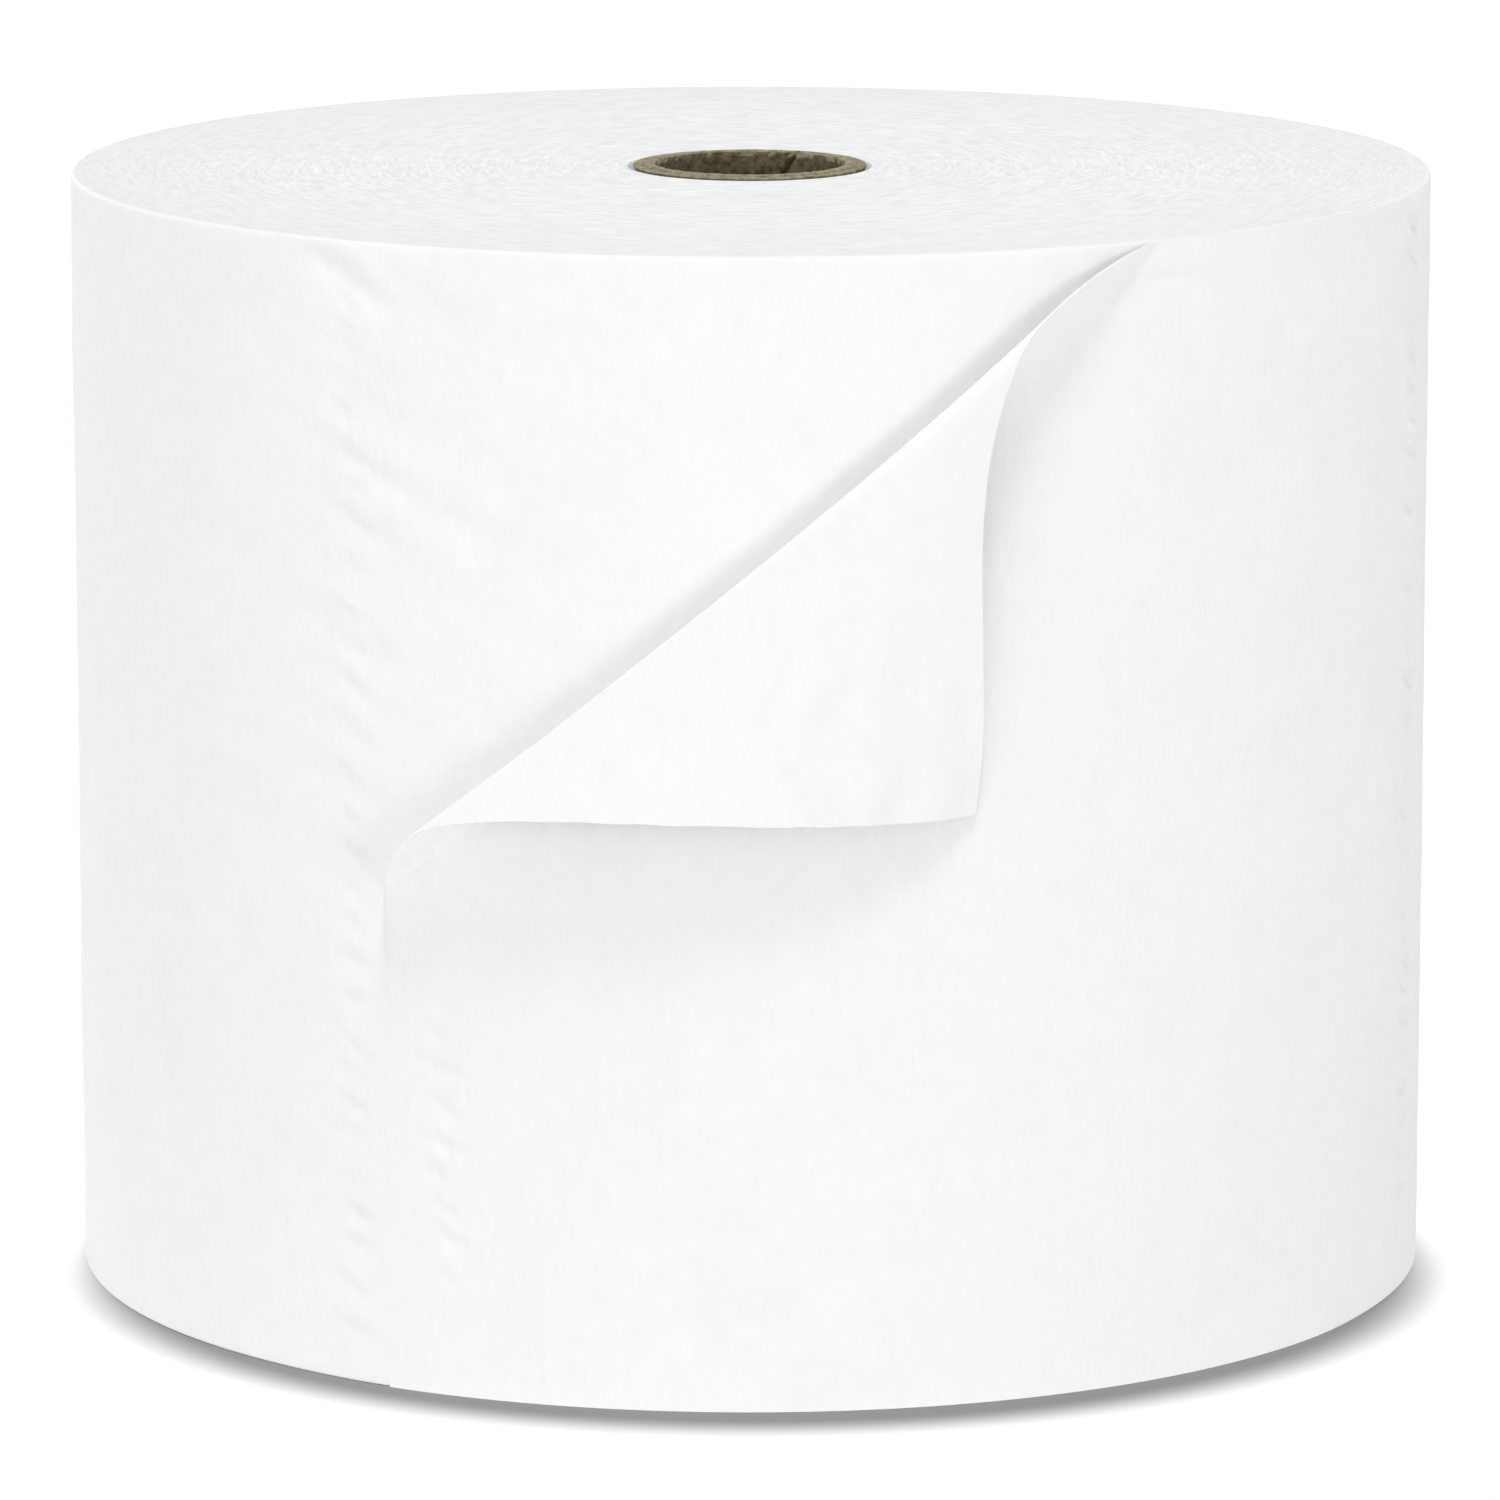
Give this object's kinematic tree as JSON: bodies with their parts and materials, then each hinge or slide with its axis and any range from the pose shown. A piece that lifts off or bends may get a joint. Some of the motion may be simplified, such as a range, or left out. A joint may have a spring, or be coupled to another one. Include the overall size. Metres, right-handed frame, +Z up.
{
  "type": "toilet paper roll",
  "caption": "Standing toilet paper roll wound on a narrow paperboard core, its torn end at the front with the upper corner folded over.",
  "frame": {"origin": "centre of the core's bore on the bottom face", "axes": "+Z up along the bore's axis; -Y to the front, where the folded corner lies; +X to the right of someone who faces it"},
  "size_m": [0.1214, 0.1259, 0.0993],
  "materials": {
    "tissue": "matte",
    "core_board": "matte"
  },
  "bodies": {
    "root": {"tissue_roll": "tissue", "core_tube": "core_board"}
  },
  "joints": []
}
